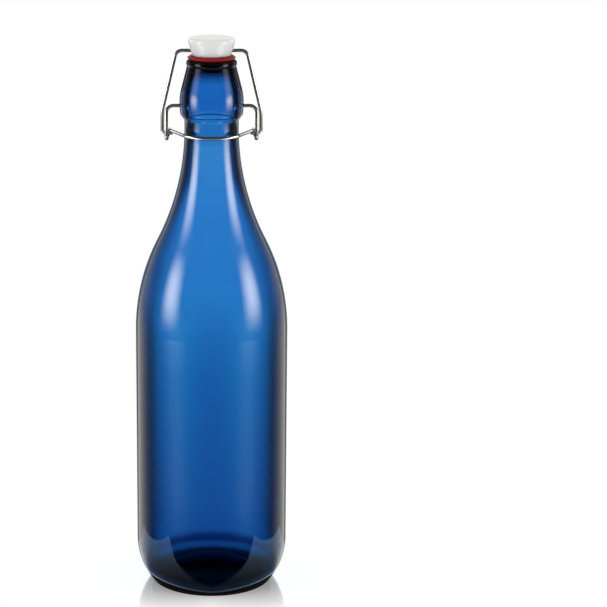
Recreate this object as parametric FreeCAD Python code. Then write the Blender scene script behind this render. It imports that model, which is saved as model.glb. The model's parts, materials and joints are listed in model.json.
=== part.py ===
import FreeCAD, Part
import math
import os

# Swing top bottle of blue glass with a wire closure, in millimetres.
# The bottle's axis is Z, it stands on Z = 0, and the locking loop faces the front, towards -Y.

# Glass body, from the base up to the neck
body_radius = 43.75
body_height = 151.4
body_wall = 2.7
heel_height = 24.7
heel_radius = 38.1
heel_edge_round = 5.0
bearing_width = 7.65
punt_height = 8.5
punt_edge_round = 2.0
base_thickness = 5.0
floor_round = 7.0
shoulder_radius = 115.4
throat_radius = 143.2
neck_radius = 15.35
neck_wall = 3.05
neck_length = 4.95

# Collar and mouth, the thick ring of glass that carries the closure
collar_step = 2.8
collar_crown_radius = 47.4
collar_skirt = 6.75
collar_slope = 45.0
collar_edge_round = 0.8
finish_cone = 15.4
lip_radius = 14.25
lip_height = 3.2
lip_round = 1.0
lip_wall = 4.75
mouth_land = 5.0
mouth_flare = 13.0
mouth_round = 0.8

# Pivot dimples, one on each side of the collar
pivot_drop = 1.9
dimple_depth = 2.9
dimple_clearance = 0.15
tip_gap = 0.3

# Closure wire, the same stock for lever and bail
wire_diameter = 2.0

# Lever wire: two legs, two eyes and the front locking loop
lever_spread = 7.45
lever_corner_bend = 4.2
lever_knee_bend = 8.0
eye_depth = 16.35
eye_radius = 2.65
eye_corner_bend = 2.4
eye_setback = 0.8
strand_gap = 0.2
arm_bend = 5.0
arm_start = 2.0
loop_stand_off = 1.05
loop_drop = 1.9
loop_front_radius = 23.0
loop_front_half_angle = 36.0
loop_corner_bend = 6.0
loop_corner_run = 1.6

# Bail wire: the pins in the eyes, two legs and the bar through the stopper
leg_gap = 0.35
pin_gap = 0.15
pin_overhang = 0.4
pin_bend = 2.0
bail_knee_height = 12.4
bail_knee_bend = 20.0
bail_shoulder = 6.75
bail_corner_bend = 4.0

# Stopper and its rubber gasket
seat_gap = 0.06
gasket_inset = 0.35
gasket_thickness = 2.85
gasket_rim_height = 1.3
gasket_taper = 1.7
gasket_rim_round = 0.5
gasket_edge_round = 0.8
gasket_stem_clearance = 0.05
head_foot_radius = 10.9
head_flare = 2.15
head_height = 10.0
head_band_height = 3.1
head_edge_round = 1.8
head_waist_round = 3.0
bail_hole_height = 2.6
bail_hole_clearance = 0.1
stem_clearance = 0.15
nub_clearance = 1.5
nub_catch = 1.0
nub_taper = 2.0
nub_land = 1.4
nub_length = 6.9
nub_edge_round = 0.5

up = FreeCAD.Vector(0, 0, 1)
centre = FreeCAD.Vector(0, 0, 0)
wire_radius = wire_diameter / 2


def place(radius, height):
    """Point of a turned profile, in the half plane through the axis."""
    return FreeCAD.Vector(radius, 0, height)


def line(start, end):
    return Part.LineSegment(start, end).toShape()


def arc_about(middle, radius, start_angle, end_angle):
    """Arc in the profile plane, with angles in radians from the outward direction."""
    angles = (start_angle, (start_angle + end_angle) / 2, end_angle)
    points = [middle + place(radius * math.cos(a), radius * math.sin(a)) for a in angles]
    return Part.Arc(*points).toShape()


def ends(edge):
    """First and last point of an edge, in the direction it was drawn."""
    return edge.valueAt(edge.FirstParameter), edge.valueAt(edge.LastParameter)


def turned(edges):
    """Solid of revolution about the bottle's axis from a closed half profile."""
    return Part.Face(Part.Wire(edges)).revolve(centre, up, 360)


def ring_edge(shape, radius, height):
    """The circular edge about the axis that lies nearest to a radius and a height."""
    rings = [e for e in shape.Edges if not e.Degenerated and isinstance(e.Curve, Part.Circle)]
    return min(rings, key=lambda e: math.hypot(e.Curve.Radius - radius, e.Curve.Center.z - height))


def rounded(shape, radius, ring_radius, ring_height):
    return shape.makeFillet(radius, [ring_edge(shape, ring_radius, ring_height)])


def shoulder_sweep(radius_below, radius_above, start_height, convex_radius, concave_radius):
    """Convex shoulder arc and concave throat arc that meet on one tangent, from the body to the neck."""
    step = radius_below - radius_above
    reach = convex_radius + concave_radius
    rise = math.sqrt(step * (2 * reach - step))
    turn = math.asin(rise / reach)
    shoulder = arc_about(place(radius_below - convex_radius, start_height), convex_radius, 0, turn)
    top = start_height + rise
    throat = arc_about(place(radius_above + concave_radius, top), concave_radius, math.pi + turn, math.pi)
    return shoulder, throat, top


def rounded_path(points, bends):
    """Wire path of straight runs and tangent arcs, with one bend radius for each inner point."""
    corners = [FreeCAD.Vector(*p) for p in points]
    edges = []
    start = corners[0]
    for before, corner, after, bend in zip(corners, corners[1:], corners[2:], bends):
        back = (before - corner).normalize()
        ahead = (after - corner).normalize()
        half_turn = (math.pi - back.getAngle(ahead)) / 2
        reach = bend * math.tan(half_turn)
        inside = (back + ahead).normalize()
        middle = corner + inside * (bend / math.cos(half_turn) - bend)
        edges.append(line(start, corner + back * reach))
        edges.append(Part.Arc(corner + back * reach, middle, corner + ahead * reach).toShape())
        start = corner + ahead * reach
    edges.append(line(start, corners[-1]))
    return Part.Wire(edges)


def bent_wire(path, name):
    """Round wire along a path, with its volume set against section times length."""
    first = path.OrderedEdges[0]
    start, _ = ends(first)
    section = Part.Wire(Part.Circle(start, first.tangentAt(first.FirstParameter), wire_radius).toShape())
    sweep = Part.BRepOffsetAPI.MakePipeShell(path)
    sweep.add(section)
    sweep.build()
    sweep.makeSolid()
    solid = sweep.shape()
    expected = math.pi * wire_radius ** 2 * path.Length
    print(name, "length", round(path.Length, 1), "volume over expected", round(solid.Volume / expected, 4))
    return solid


def mirrored(points):
    """The same points on the other side, in reverse, so that one wire runs from side to side."""
    return [(-x, y, z) for x, y, z in reversed(points)]


# Base of the glass, where the heel arc runs down to the bearing ring around the punt
heel_centre = place(body_radius - heel_radius, heel_height)
heel_end = -math.asin(heel_height / heel_radius)
foot_radius = heel_centre.x + heel_radius * math.cos(heel_end)
punt_radius = foot_radius - bearing_width
punt_sphere = (punt_radius ** 2 + punt_height ** 2) / (2 * punt_height)
punt_centre = place(0, punt_height - punt_sphere)

# Radii of the collar, the mouth and what fits in and on it
collar_radius = neck_radius + collar_step
mouth_radius = lip_radius - lip_wall
gasket_radius = lip_radius - gasket_inset
nub_radius = mouth_radius - nub_clearance
stem_radius = nub_radius - nub_catch
head_radius = head_foot_radius + head_flare

# Heights up the glass, from the tangent arcs and the collar's own sizes
outer_shoulder, outer_throat, throat_top = shoulder_sweep(
    body_radius, neck_radius, body_height, shoulder_radius, throat_radius)
cone = math.radians(finish_cone)
skirt_turn = math.asin(collar_skirt / collar_crown_radius)
collar_edge_radius = collar_radius - collar_crown_radius * (1 - math.cos(skirt_turn))
neck_top = throat_top + neck_length
collar_edge_height = neck_top + (collar_edge_radius - neck_radius) * math.tan(math.radians(collar_slope))
collar_height = collar_edge_height + collar_skirt
cone_radius = collar_radius - collar_crown_radius * (1 - math.cos(cone))
cone_height = collar_height + collar_crown_radius * math.sin(cone)
lip_foot = cone_height + (cone_radius - lip_radius) / math.tan(cone)
lip_top = lip_foot + lip_height
pivot_height = collar_height - pivot_drop

# Heights of the closure above the lip
gasket_foot = lip_top + seat_gap
head_foot = gasket_foot + gasket_thickness
bar_height = head_foot + bail_hole_height

# Places of the eye and of the pin that hangs in it
lever_leg_x = collar_radius + lever_spread
loop_reach = collar_radius + loop_stand_off
eye_height = pivot_height - eye_depth
arm_height = eye_height + eye_radius
arm_x = lever_leg_x - wire_diameter - strand_gap
pin_height = arm_height - wire_diameter - pin_gap
bail_leg_x = lever_leg_x + wire_diameter + leg_gap


def glass_blank():
    """The bottle as solid glass, with its heel, punt, shoulder, collar and lip."""
    heel = arc_about(heel_centre, heel_radius, heel_end, 0)
    foot, wall_start = ends(heel)
    crown_centre = place(collar_radius - collar_crown_radius, collar_height)
    crown = arc_about(crown_centre, collar_crown_radius, -skirt_turn, cone)
    skirt, crown_end = ends(crown)
    punt_edge = math.acos(punt_radius / punt_sphere)
    punt = arc_about(punt_centre, punt_sphere, math.pi / 2, punt_edge)
    wall_end = place(body_radius, body_height)
    lip_edge = place(lip_radius, lip_top)
    lip_start = place(lip_radius, lip_foot)
    mouth_middle = place(0, lip_top)
    blank = turned([
        punt,
        line(place(punt_radius, 0), foot),
        heel,
        line(wall_start, wall_end),
        outer_shoulder,
        outer_throat,
        line(place(neck_radius, throat_top), place(neck_radius, neck_top)),
        line(place(neck_radius, neck_top), skirt),
        crown,
        line(crown_end, lip_start),
        line(lip_start, lip_edge),
        line(lip_edge, mouth_middle),
        line(mouth_middle, place(0, punt_height)),
    ])
    blank = rounded(blank, heel_edge_round, foot.x, 0)
    blank = rounded(blank, punt_edge_round, punt_radius, 0)
    blank = rounded(blank, collar_edge_round, collar_edge_radius, collar_edge_height)
    blank = rounded(blank, collar_edge_round, neck_radius, neck_top)
    return rounded(blank, lip_round, lip_radius, lip_top)


def glass_cavity():
    """The space inside the glass, from the domed floor to the mouth."""
    inner_radius = body_radius - body_wall
    inner_neck = neck_radius - neck_wall
    shoulder, throat, inner_throat_top = shoulder_sweep(
        inner_radius, inner_neck, body_height, shoulder_radius - body_wall, throat_radius + neck_wall)
    floor_sphere = punt_sphere + base_thickness
    inner_heel_radius = heel_radius - body_wall
    between = heel_centre - punt_centre
    along = (between.Length ** 2 + floor_sphere ** 2 - inner_heel_radius ** 2) / (2 * between.Length)
    across = math.sqrt(floor_sphere ** 2 - along ** 2)
    unit = between.normalize()
    trough = punt_centre + unit * along + place(unit.z, -unit.x) * across
    floor_angle = math.atan2(trough.z - punt_centre.z, trough.x)
    heel_angle = math.atan2(trough.z - heel_centre.z, trough.x - heel_centre.x)
    mouth_foot = place(mouth_radius, lip_top - mouth_land)
    flare_foot = place(inner_neck, lip_top - mouth_land - mouth_flare)
    mouth_edge = place(mouth_radius, lip_top + lip_height)
    floor_middle = place(0, punt_height + base_thickness)
    top_middle = place(0, lip_top + lip_height)
    cavity = turned([
        arc_about(punt_centre, floor_sphere, math.pi / 2, floor_angle),
        arc_about(heel_centre, inner_heel_radius, heel_angle, 0),
        line(place(inner_radius, heel_height), place(inner_radius, body_height)),
        shoulder,
        throat,
        line(place(inner_neck, inner_throat_top), flare_foot),
        line(flare_foot, mouth_foot),
        line(mouth_foot, mouth_edge),
        line(mouth_edge, top_middle),
        line(top_middle, floor_middle),
    ])
    return rounded(cavity, floor_round, trough.x, trough.z)


def make_bottle():
    """Hollow glass with a rounded mouth and two blind dimples for the lever's tips."""
    cavity = glass_cavity()
    glass = rounded(glass_blank().cut(cavity), mouth_round, mouth_radius, lip_top)
    for side in (-1, 1):
        floor = FreeCAD.Vector(side * (collar_radius - dimple_depth), 0, pivot_height)
        outward = FreeCAD.Vector(side, 0, 0)
        glass = glass.cut(Part.makeCylinder(wire_radius + dimple_clearance, collar_radius, floor, outward))
    brimful = cavity.common(Part.makeCylinder(body_radius, lip_top)).Volume
    print("brimful millilitres", round(brimful / 1000, 1))
    return glass


def make_lever():
    """One wire: tip in a dimple, leg, eye, arm, front loop, and the same again on the other side."""
    slope = loop_drop / (loop_reach - arm_start)
    front_centre_y = loop_front_radius - loop_reach
    half_angle = math.radians(loop_front_half_angle)
    apex_y = front_centre_y - loop_front_radius / math.cos(half_angle)
    run_out = loop_front_radius * math.tan(half_angle) + loop_corner_run
    corner_x = run_out * math.cos(half_angle)
    corner_y = apex_y + run_out * math.sin(half_angle)

    def on_loop(x, y):
        return (x, y, arm_height + slope * (y + arm_start))

    front_y = eye_setback - eye_radius
    rear_y = eye_setback + eye_radius
    low = eye_height - eye_radius
    strand_step = (lever_leg_x - arm_x) / 4
    half = [
        (collar_radius - dimple_depth + tip_gap, 0, pivot_height),
        (lever_leg_x, 0, pivot_height),
        (lever_leg_x, front_y, arm_height),
        (lever_leg_x, front_y, low),
        (lever_leg_x - strand_step, rear_y, low),
        (arm_x + strand_step, rear_y, arm_height),
        (arm_x, -arm_start, arm_height),
        on_loop(corner_x, corner_y),
    ]
    half_bends = [lever_corner_bend, lever_knee_bend, eye_corner_bend, eye_corner_bend,
                  eye_corner_bend, arm_bend, loop_corner_bend]
    points = half + [on_loop(0, apex_y)] + mirrored(half)
    bends = half_bends + [loop_front_radius] + half_bends[::-1]
    return bent_wire(rounded_path(points, bends), "lever_wire")


def make_bail():
    """One wire: pin in an eye, leg, bar through the stopper, and the same again on the other side."""
    lean = -eye_setback / (bar_height - pin_height)

    def on_bail(x, height):
        return (x, eye_setback + lean * height, pin_height + height)

    half = [
        on_bail(arm_x - wire_radius - pin_overhang, 0),
        on_bail(bail_leg_x, 0),
        on_bail(bail_leg_x, bail_knee_height),
        on_bail(head_radius + bail_shoulder, bar_height - pin_height),
    ]
    half_bends = [pin_bend, bail_knee_bend, bail_corner_bend]
    return bent_wire(rounded_path(half + mirrored(half), half_bends + half_bends[::-1]), "bail_wire")


def make_stopper():
    """Moulded head with a cross hole for the bail, a stem for the gasket and a nub for the mouth."""
    band_foot = head_foot + head_height - head_band_height
    stem_foot = gasket_foot - stem_clearance
    land_foot = stem_foot - nub_land
    nub_foot = stem_foot - nub_length
    outline = [
        (0, nub_foot),
        (nub_radius - nub_taper, nub_foot),
        (nub_radius, land_foot),
        (nub_radius, stem_foot),
        (stem_radius, stem_foot),
        (stem_radius, head_foot),
        (head_foot_radius, head_foot),
        (head_radius, band_foot),
        (head_radius, head_foot + head_height),
        (0, head_foot + head_height),
    ]
    corners = [place(*p) for p in outline]
    head = turned([line(a, b) for a, b in zip(corners, corners[1:] + corners[:1])])
    head = rounded(head, head_edge_round, head_radius, head_foot + head_height)
    head = rounded(head, head_waist_round, head_radius, band_foot)
    head = rounded(head, nub_edge_round, nub_radius - nub_taper, nub_foot)
    hole_start = FreeCAD.Vector(-head_radius, 0, bar_height)
    across = FreeCAD.Vector(1, 0, 0)
    hole = Part.makeCylinder(wire_radius + bail_hole_clearance, 2 * head_radius, hole_start, across)
    return head.cut(hole)


def make_gasket():
    """Rubber ring on the stopper's stem, tapered on both faces towards its outer rim."""
    hole_radius = stem_radius + gasket_stem_clearance
    face_radius = gasket_radius - gasket_taper
    outline = [
        (hole_radius, gasket_foot),
        (face_radius, gasket_foot),
        (gasket_radius, gasket_foot + gasket_rim_height),
        (face_radius, head_foot),
        (hole_radius, head_foot),
    ]
    corners = [place(*p) for p in outline]
    ring = turned([line(a, b) for a, b in zip(corners, corners[1:] + corners[:1])])
    ring = rounded(ring, gasket_rim_round, gasket_radius, gasket_foot + gasket_rim_height)
    ring = rounded(ring, gasket_edge_round, face_radius, gasket_foot)
    return rounded(ring, gasket_edge_round, face_radius, head_foot)


pieces = {
    "glass_bottle": make_bottle(),
    "lever_wire": make_lever(),
    "bail_wire": make_bail(),
    "stopper": make_stopper(),
    "gasket": make_gasket(),
}
os.makedirs("parts", exist_ok=True)
for name, shape in pieces.items():
    shape.exportStep("parts/" + name + ".step")
    print(name, "valid", shape.isValid(), "solids", len(shape.Solids), "volume", round(shape.Volume, 1))
print("pivot height", round(pivot_height, 3), "pin", eye_setback, round(pin_height, 3))
print("bar height", round(bar_height, 3), "lip top", round(lip_top, 3))
print("top", round(head_foot + head_height, 3))
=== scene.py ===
# %% [markdown]
# # A blue glass swing top bottle
# The bottle is one blown piece of blue glass. A white stopper with a red rubber ring closes it, and two
# bent wires, the lever and the bail, pull the stopper down. The imported model gives the sizes, the places
# and the moving bodies. Here each of its five pieces is modelled again, with the fine shapes and finishes
# that show. The model is loaded first, and its parts are kept, for the sizes that their boxes give.

# %% Load the imported model
import json
import math
import bmesh
import bpy
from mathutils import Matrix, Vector


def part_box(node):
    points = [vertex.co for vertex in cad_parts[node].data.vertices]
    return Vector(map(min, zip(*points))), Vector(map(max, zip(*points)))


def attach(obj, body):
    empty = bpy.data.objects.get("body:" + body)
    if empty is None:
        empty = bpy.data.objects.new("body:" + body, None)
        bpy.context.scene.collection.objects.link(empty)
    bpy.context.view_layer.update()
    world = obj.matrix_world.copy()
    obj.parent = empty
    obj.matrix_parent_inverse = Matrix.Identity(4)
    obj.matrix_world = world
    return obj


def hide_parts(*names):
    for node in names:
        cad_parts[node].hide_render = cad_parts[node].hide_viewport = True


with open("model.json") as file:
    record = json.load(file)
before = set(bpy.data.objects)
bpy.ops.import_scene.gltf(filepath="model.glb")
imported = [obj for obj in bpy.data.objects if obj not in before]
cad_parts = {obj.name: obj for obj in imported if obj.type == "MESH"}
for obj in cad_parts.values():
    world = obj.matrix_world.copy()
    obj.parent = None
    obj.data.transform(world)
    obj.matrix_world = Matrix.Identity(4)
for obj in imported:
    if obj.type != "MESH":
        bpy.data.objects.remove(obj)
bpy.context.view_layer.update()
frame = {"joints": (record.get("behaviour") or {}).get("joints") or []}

mm = 0.001

# %% [markdown]
# ## Working as by hand
# Two habits keep operators predictable. Everything is deselected before a new primitive is added, and in
# edit mode the vertices, edges or faces to work on are picked by their place. These helpers do both. A new
# piece always starts from a small primitive. Its place is put into its mesh at once, so that the object
# itself sits at the origin.


# %% Helpers for selecting and for edit mode
def start_piece(name, add_primitive, **settings):
    """Add a primitive with nothing else selected, put its place in its mesh and open it in edit mode."""
    bpy.ops.object.select_all(action="DESELECT")
    add_primitive(**settings)
    piece = bpy.context.object
    piece.name = name
    piece.data.name = name
    bpy.ops.object.transform_apply(location=True, rotation=True, scale=True)
    bpy.ops.object.mode_set(mode="EDIT")
    bpy.ops.mesh.select_mode(type="VERT")
    bpy.ops.mesh.select_all(action="SELECT")
    return piece


def pick_edges(piece, test):
    """Select in edit mode the edges of which both vertices pass a test."""
    bpy.ops.mesh.select_mode(type="EDGE")
    bpy.ops.mesh.select_all(action="DESELECT")
    mesh = bmesh.from_edit_mesh(piece.data)
    found = [edge for edge in mesh.edges if all(test(v.co) for v in edge.verts)]
    for edge in found:
        edge.select_set(True)
    bmesh.update_edit_mesh(piece.data)
    return len(found)


def finish_piece(piece, crease_degrees):
    """Leave edit mode and shade smoothly, apart from edges that are sharper than the crease."""
    bpy.ops.object.mode_set(mode="OBJECT")
    bpy.ops.object.shade_smooth_by_angle(angle=math.radians(crease_degrees))
    triangles = sum(len(p.vertices) - 2 for p in piece.data.polygons)
    size = [round(x / mm, 2) for x in piece.dimensions]
    print(piece.name, "has", triangles, "triangles and measures", size, "mm")
    return piece


# %% [markdown]
# ## Turning on a lathe
# Bottle, stopper and gasket are turned shapes. A lathe shape needs one half profile. It is drawn here as
# with a pen: a plane is merged to a single vertex, straight stretches are extruded from it, and round
# stretches are made by the spin operator, which swings the vertex about the centre of the arc. A second
# spin, about the bottle's axis, turns the whole profile. Doubles on the axis are merged before normals are
# recalculated. Ring edges are rounded afterwards with a bevel, whose offset follows from the rounding and
# from how far the profile turns at that edge.


# %% Helpers for a turned profile
def start_profile(name, radius, height):
    """A single vertex in the half plane through the axis."""
    piece = start_piece(name, bpy.ops.mesh.primitive_plane_add, size=mm)
    bpy.ops.mesh.merge(type="CENTER")
    bpy.ops.transform.translate(value=(radius, 0, height))
    return piece


def pen(piece):
    """Where the profile's drawn end is."""
    mesh = bmesh.from_edit_mesh(piece.data)
    return next(v.co.copy() for v in mesh.verts if v.select)


def straight_to(piece, radius, height):
    move = Vector((radius, 0, height)) - pen(piece)
    bpy.ops.mesh.extrude_region_move(TRANSFORM_OT_translate={"value": move})


def arc_about(centre, turn, steps):
    """Round stretch about a centre, where a positive turn goes from outward to upward."""
    radius, height = centre
    bpy.ops.mesh.spin(steps=steps, angle=turn, center=(radius, 0, height), axis=(0, 1, 0))


# %% Helpers that turn a profile and round its edges
def turn_profile(steps):
    bpy.ops.mesh.select_all(action="SELECT")
    bpy.ops.mesh.spin(steps=steps, angle=math.tau, center=(0, 0, 0), axis=(0, 0, 1))
    bpy.ops.mesh.select_all(action="SELECT")
    bpy.ops.mesh.remove_doubles(threshold=0.001 * mm)
    bpy.ops.mesh.normals_make_consistent(inside=False)


def round_ring(piece, radius, height, rounding, turn_degrees, segments=5):
    """Bevel the ring edge at a radius and a height to a rounding of its own."""
    near = 0.01 * mm

    def on_ring(co):
        return abs(math.hypot(co.x, co.y) - radius) < near and abs(co.z - height) < near

    count = pick_edges(piece, on_ring)
    offset = rounding * math.tan(math.radians(turn_degrees) / 2)
    bpy.ops.mesh.bevel(offset=offset, segments=segments, affect="EDGES", profile=0.5)
    print("rounded", count, "edges at radius", round(radius / mm, 2), "height", round(height / mm, 2))


# %% [markdown]
# ## The glass: base, body and shoulder
# A blown bottle has few sizes. It stands on a ring round a hollow, the punt. A round heel leads to the
# straight body, and a long convex shoulder runs over into a concave throat on one tangent. Both arcs
# follow from their radii and from the two radii that they join, so that no point of the shoulder has to be
# measured.

# %% Sizes of base, body and shoulder
punt_height = 8.5 * mm
punt_edge_round = 2.0 * mm
bearing_width = 7.65 * mm
heel_edge_round = 5.0 * mm
heel_radius = 38.1 * mm
heel_height = 24.7 * mm
body_radius = 43.75 * mm
body_height = 151.4 * mm
shoulder_radius = 115.4 * mm
throat_radius = 143.2 * mm
neck_radius = 15.35 * mm


def shoulder_turn(radius_below, radius_above, convex, concave):
    """Turn and rise of the two tangent arcs that lead from the body to the neck."""
    step = radius_below - radius_above
    rise = math.sqrt(step * (2 * (convex + concave) - step))
    return math.asin(rise / (convex + concave)), rise


outer_turn, outer_rise = shoulder_turn(body_radius, neck_radius, shoulder_radius, throat_radius)
throat_top = body_height + outer_rise
print("shoulder turns", round(math.degrees(outer_turn), 1), "degrees, to", round(throat_top / mm, 1), "mm")

# %% Draw the punt, the heel, the body and the shoulder
glass = start_profile("blue_bottle", 0, punt_height)
heel_centre = (body_radius - heel_radius, heel_height)
foot_radius = heel_centre[0] + math.sqrt(heel_radius ** 2 - heel_height ** 2)
punt_radius = foot_radius - bearing_width
punt_sphere = (punt_radius ** 2 + punt_height ** 2) / (2 * punt_height)
punt_centre = (0, punt_height - punt_sphere)
edge_rise = punt_edge_round - punt_centre[1]
edge_x = math.sqrt((punt_sphere + punt_edge_round) ** 2 - edge_rise ** 2)
punt_end = math.atan2(edge_rise, edge_x)
arc_about(punt_centre, punt_end - math.pi / 2, steps=16)
arc_about((edge_x, punt_edge_round), math.pi / 2 - punt_end, steps=5)
heel_drop = heel_height - heel_edge_round
heel_edge_x = heel_centre[0] + math.sqrt((heel_radius - heel_edge_round) ** 2 - heel_drop ** 2)
heel_start = math.atan2(-heel_drop, heel_edge_x - heel_centre[0])
straight_to(glass, heel_edge_x, 0)
arc_about((heel_edge_x, heel_edge_round), heel_start + math.pi / 2, steps=8)
arc_about(heel_centre, -heel_start, steps=16)
straight_to(glass, body_radius, body_height)
arc_about((body_radius - shoulder_radius, body_height), outer_turn, steps=30)
arc_about((neck_radius + throat_radius, throat_top), -outer_turn, steps=36)
print("shoulder drawn to", [round(x / mm, 3) for x in pen(glass)])

# %% [markdown]
# ## The glass: neck, collar and lip
# Above a short neck, the thick collar carries the closure's wires. A slope leads out to its lower edge,
# its skirt bulges a little, and its crown runs up as a cone to the lip, which has a rounded bead. The lip's
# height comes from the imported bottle, because the gasket has to meet it.

# %% Sizes of neck, collar and lip
neck_length = 4.95 * mm
collar_step = 2.8 * mm
collar_slope_drop = 0.8 * mm
collar_skirt = 6.75 * mm
collar_skirt_radius = 47.4 * mm
collar_crown_radius = 32.0 * mm
collar_edge_round = 0.4 * mm
finish_cone = math.radians(12.97)
lip_radius = 14.25 * mm
lip_height = 3.2 * mm
lip_bulge = 0.4 * mm
neck_top = throat_top + neck_length
collar_foot = neck_top - collar_slope_drop
collar_radius = neck_radius + collar_step
skirt_turn = math.asin(collar_skirt / collar_skirt_radius)
collar_edge_radius = collar_radius - collar_skirt_radius * (1 - math.cos(skirt_turn))
collar_edge_height = neck_top + collar_edge_radius - neck_radius
collar_height = collar_edge_height + collar_skirt
lip_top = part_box("glass_bottle")[1].z
lip_foot = lip_top - lip_height
print("collar widest at", round(collar_height / mm, 2), "mm, lip at", round(lip_top / mm, 2), "mm")

# %% Draw the neck, the collar and the lip
straight_to(glass, neck_radius, collar_foot)
straight_to(glass, collar_edge_radius, collar_edge_height)
arc_about((collar_radius - collar_skirt_radius, collar_height), skirt_turn, steps=6)
arc_about((collar_radius - collar_crown_radius, collar_height), finish_cone, steps=8)
straight_to(glass, lip_radius - lip_bulge, lip_foot)
lip_arc = (lip_height ** 2 / 4 + lip_bulge ** 2) / (2 * lip_bulge)
lip_turn = 2 * math.asin(lip_height / 2 / lip_arc)
arc_about((lip_radius - lip_arc, lip_foot + lip_height / 2), lip_turn, steps=10)
print("outside drawn to", [round(x / mm, 3) for x in pen(glass)])

# %% [markdown]
# ## The glass: inside
# Glass refracts, so it needs its real wall: one closed skin that runs from the punt up the outside, over
# the lip and down the inside to the floor. A Solidify modifier would give one even thickness. A bottle's
# wall is thin in the body and thick in the neck and the base, so the inside is drawn with sizes of its own.

# %% Sizes of the inside
lip_wall = 4.75 * mm
mouth_land = 5.0 * mm
mouth_flare = 13.0 * mm
neck_wall = 3.05 * mm
body_wall = 2.7 * mm
base_thickness = 5.0 * mm
floor_round = 7.0 * mm
mouth_radius = lip_radius - lip_wall
inner_radius = body_radius - body_wall
inner_neck = neck_radius - neck_wall
inner_shoulder = shoulder_radius - body_wall
inner_throat = throat_radius + neck_wall
inner_heel = heel_radius - body_wall
inner_turn, inner_rise = shoulder_turn(inner_radius, inner_neck, inner_shoulder, inner_throat)
flare_foot = lip_top - mouth_land - mouth_flare
inner_throat_top = body_height + inner_rise
print("mouth is", round(2 * mouth_radius / mm, 1), "mm wide, bore", round(2 * inner_neck / mm, 1), "mm")


# %% Draw the inside, from the mouth down to the floor
def circles_meet(first, first_radius, second, second_radius):
    """The outer point where two circles of the half plane cross."""
    between = Vector(second) - Vector(first)
    reach = between.length
    along = (reach ** 2 + first_radius ** 2 - second_radius ** 2) / (2 * reach)
    across = math.sqrt(first_radius ** 2 - along ** 2)
    unit = between / reach
    middle = Vector(first) + unit * along
    sides = [middle + Vector((unit.y, -unit.x)) * s for s in (across, -across)]
    return max(sides, key=lambda p: p.x)


straight_to(glass, mouth_radius, lip_top)
straight_to(glass, mouth_radius, lip_top - mouth_land)
straight_to(glass, inner_neck, flare_foot)
straight_to(glass, inner_neck, inner_throat_top)
arc_about((inner_neck + inner_throat, inner_throat_top), inner_turn, steps=36)
arc_about((inner_radius - inner_shoulder, body_height), -inner_turn, steps=30)
straight_to(glass, inner_radius, heel_height)
floor_sphere = punt_sphere + base_thickness
trough = circles_meet(punt_centre, floor_sphere + floor_round, heel_centre, inner_heel - floor_round)
heel_end = math.atan2(trough.y - heel_centre[1], trough.x - heel_centre[0])
floor_end = math.atan2(trough.y - punt_centre[1], trough.x)
arc_about(heel_centre, heel_end, steps=14)
arc_about(tuple(trough), floor_end - math.pi - heel_end, steps=12)
arc_about(punt_centre, math.pi / 2 - floor_end, steps=14)
print("inside drawn to", [round(x / mm, 3) for x in pen(glass)])

# %% Turn the glass and round its collar and lip
glass_steps = 256
glass_crease = 35
lip_round = 0.6 * mm
lip_corner = 62
mouth_round = 0.8 * mm
square_corner = 90
turn_profile(glass_steps)
slope_turn = math.degrees(math.atan2(collar_edge_radius - neck_radius, collar_edge_height - collar_foot))
skirt_corner = slope_turn + math.degrees(skirt_turn)
round_ring(glass, neck_radius, collar_foot, collar_edge_round, slope_turn)
round_ring(glass, collar_edge_radius, collar_edge_height, collar_edge_round, skirt_corner)
round_ring(glass, lip_radius - lip_bulge, lip_top, lip_round, lip_corner)
round_ring(glass, mouth_radius, lip_top, mouth_round, square_corner)
finish_piece(glass, glass_crease)

# %% [markdown]
# ## Dimples for the lever
# The lever has no holes to turn in: its two tips sit in blind dimples that the mould leaves in the collar.
# Each is cut with a Boolean modifier and a small cylinder with a rounded floor, at the pivot that the
# packed joint gives.


# %% Helpers for a cut at a joint
def joint_place(name):
    return Vector(next(j["pos_m"] for j in frame["joints"] if j["name"] == name))


def cut_away(piece, cutter):
    """Subtract a cutter from a piece, apply the modifier and remove the cutter."""
    bpy.ops.object.mode_set(mode="OBJECT")
    bpy.ops.object.select_all(action="DESELECT")
    piece.select_set(True)
    bpy.context.view_layer.objects.active = piece
    cut = piece.modifiers.new("cut", "BOOLEAN")
    cut.operation = "DIFFERENCE"
    cut.solver = "EXACT"
    cut.object = cutter
    bpy.ops.object.modifier_apply(modifier=cut.name)
    bpy.data.objects.remove(cutter)


# %% Cut the two dimples
wire_radius = 1.0 * mm
dimple_depth = 2.9 * mm
dimple_clearance = 0.15 * mm
dimple_floor_round = 0.45 * mm
dimple_radius = wire_radius + dimple_clearance
dimple_floor = collar_radius - dimple_depth
pivot = joint_place("lever_swing")
for side in (-1, 1):
    cutter = start_piece(
        "dimple_cutter", bpy.ops.mesh.primitive_cylinder_add, vertices=40, radius=dimple_radius,
        depth=2 * collar_step, location=(side * (dimple_floor + collar_step), 0, pivot.z),
        rotation=(0, math.pi / 2, 0))
    pick_edges(cutter, lambda co: abs(abs(co.x) - dimple_floor) < 0.01 * mm)
    bpy.ops.mesh.bevel(offset=dimple_floor_round, segments=3, affect="EDGES")
    cut_away(glass, cutter)
finish_piece(glass, glass_crease)

# %% [markdown]
# ## Bending the wires
# Lever and bail are each one piece of two millimetre steel wire. A curve with a bevel would round every
# corner in its own way, so the wire is bent here as on a bench: a circle is fed forward by extrude along
# each straight run, and the spin operator swings it round a pin of the bend's radius at each corner. Each
# vertex of the circle keeps its place round the section in an attribute that extrude hands on, and the
# steel's drawing lines follow it later.

# %% Helpers for the wire's section and its ends
wire_sides = 32
end_round = 0.3 * wire_radius


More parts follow.
